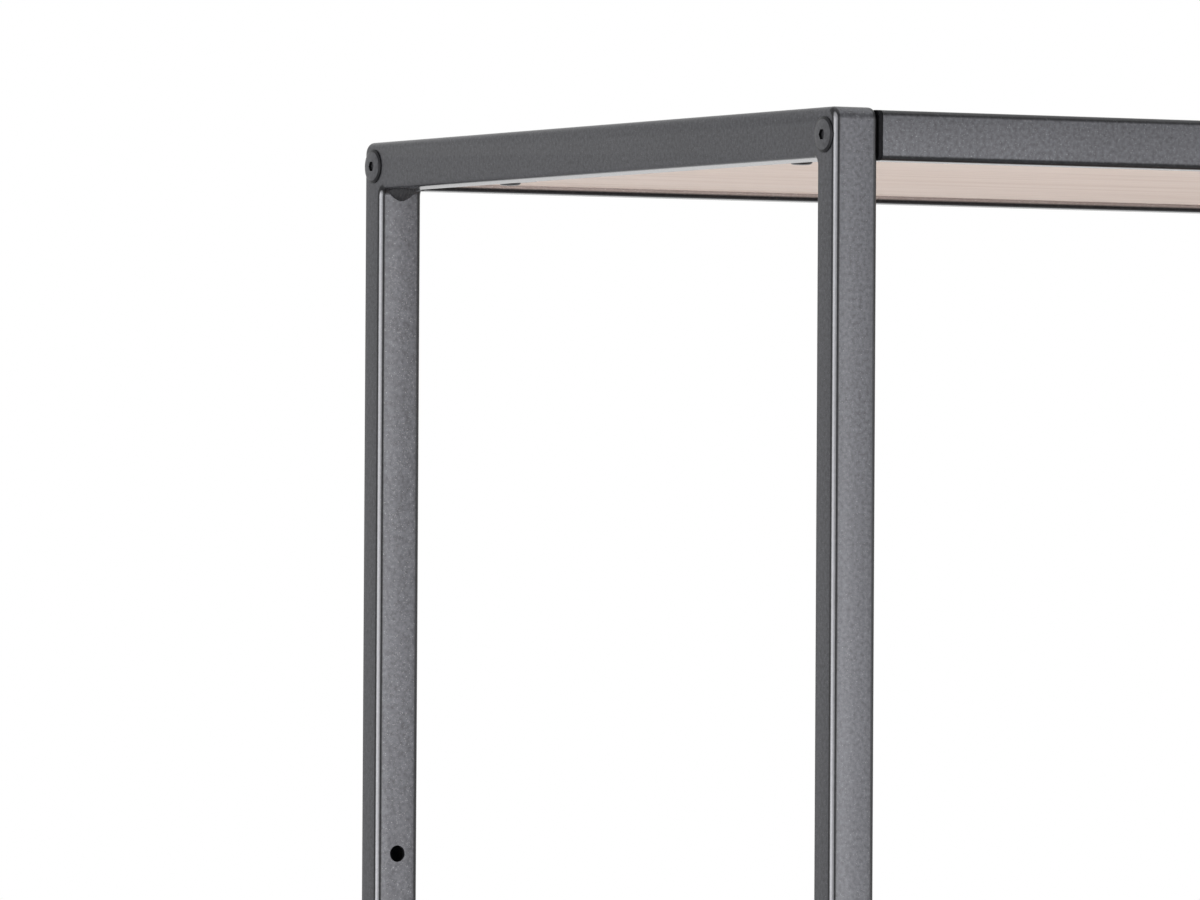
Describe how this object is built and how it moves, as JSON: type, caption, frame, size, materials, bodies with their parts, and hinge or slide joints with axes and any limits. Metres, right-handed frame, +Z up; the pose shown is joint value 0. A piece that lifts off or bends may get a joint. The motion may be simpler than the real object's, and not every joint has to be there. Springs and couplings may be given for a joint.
{
  "type": "bookcase",
  "caption": "Open steel bookcase: welded side frames joined by bolted rails that hold wooden panels, with a wooden shelf lying on pegs in the posts.",
  "frame": {"origin": "on the floor, under the middle of the bookcase", "axes": "+Z up, -Y to the front, +X to the right as seen from the front"},
  "size_m": [0.8024, 0.4, 1.38],
  "materials": {
    "coated_steel": "satin dark grey powder coat with a fine speckle",
    "wood": "pale matt wood board",
    "black_plastic": "matt black",
    "bolt_steel": "satin dark grey coat",
    "screw_steel": "dark steel",
    "peg_steel": "dark steel"
  },
  "bodies": {
    "frame": {"side_frame_left": "coated_steel", "side_frame_right": "coated_steel", "top_front_rail": "coated_steel", "top_back_rail": "coated_steel", "middle_front_rail": "coated_steel", "middle_back_rail": "coated_steel", "bottom_front_rail": "coated_steel", "bottom_back_rail": "coated_steel", "top_front_left_plug": "black_plastic", "top_front_right_plug": "black_plastic", "top_back_left_plug": "black_plastic", "top_back_right_plug": "black_plastic", "middle_front_left_plug": "black_plastic", "middle_front_right_plug": "black_plastic", "middle_back_left_plug": "black_plastic", "middle_back_right_plug": "black_plastic", "bottom_front_left_plug": "black_plastic", "bottom_front_right_plug": "black_plastic", "bottom_back_left_plug": "black_plastic", "bottom_back_right_plug": "black_plastic", "top_front_left_bolt": "bolt_steel", "top_front_right_bolt": "bolt_steel", "top_back_left_bolt": "bolt_steel", "top_back_right_bolt": "bolt_steel", "middle_front_left_bolt": "bolt_steel", "middle_front_right_bolt": "bolt_steel", "middle_back_left_bolt": "bolt_steel", "middle_back_right_bolt": "bolt_steel", "bottom_front_left_bolt": "bolt_steel", "bottom_front_right_bolt": "bolt_steel", "bottom_back_left_bolt": "bolt_steel", "bottom_back_right_bolt": "bolt_steel", "top_panel": "wood", "middle_panel": "wood", "bottom_panel": "wood", "top_front_left_screw": "screw_steel", "top_front_right_screw": "screw_steel", "top_back_left_screw": "screw_steel", "top_back_right_screw": "screw_steel", "middle_front_left_screw": "screw_steel", "middle_front_right_screw": "screw_steel", "middle_back_left_screw": "screw_steel", "middle_back_right_screw": "screw_steel", "bottom_front_left_screw": "screw_steel", "bottom_front_right_screw": "screw_steel", "bottom_back_left_screw": "screw_steel", "bottom_back_right_screw": "screw_steel", "shelf_peg_front_left": "peg_steel", "shelf_peg_front_right": "peg_steel", "shelf_peg_back_left": "peg_steel", "shelf_peg_back_right": "peg_steel", "foot_front_left": "black_plastic", "foot_front_right": "black_plastic", "foot_back_left": "black_plastic", "foot_back_right": "black_plastic"},
    "shelf": {"adjustable_shelf": "wood"}
  },
  "joints": [
    {"name": "shelf_lift", "type": "slide", "parent": "frame", "child": "shelf", "axis": [0, 0, 1], "range_m": [0, 0.1]}
  ]
}
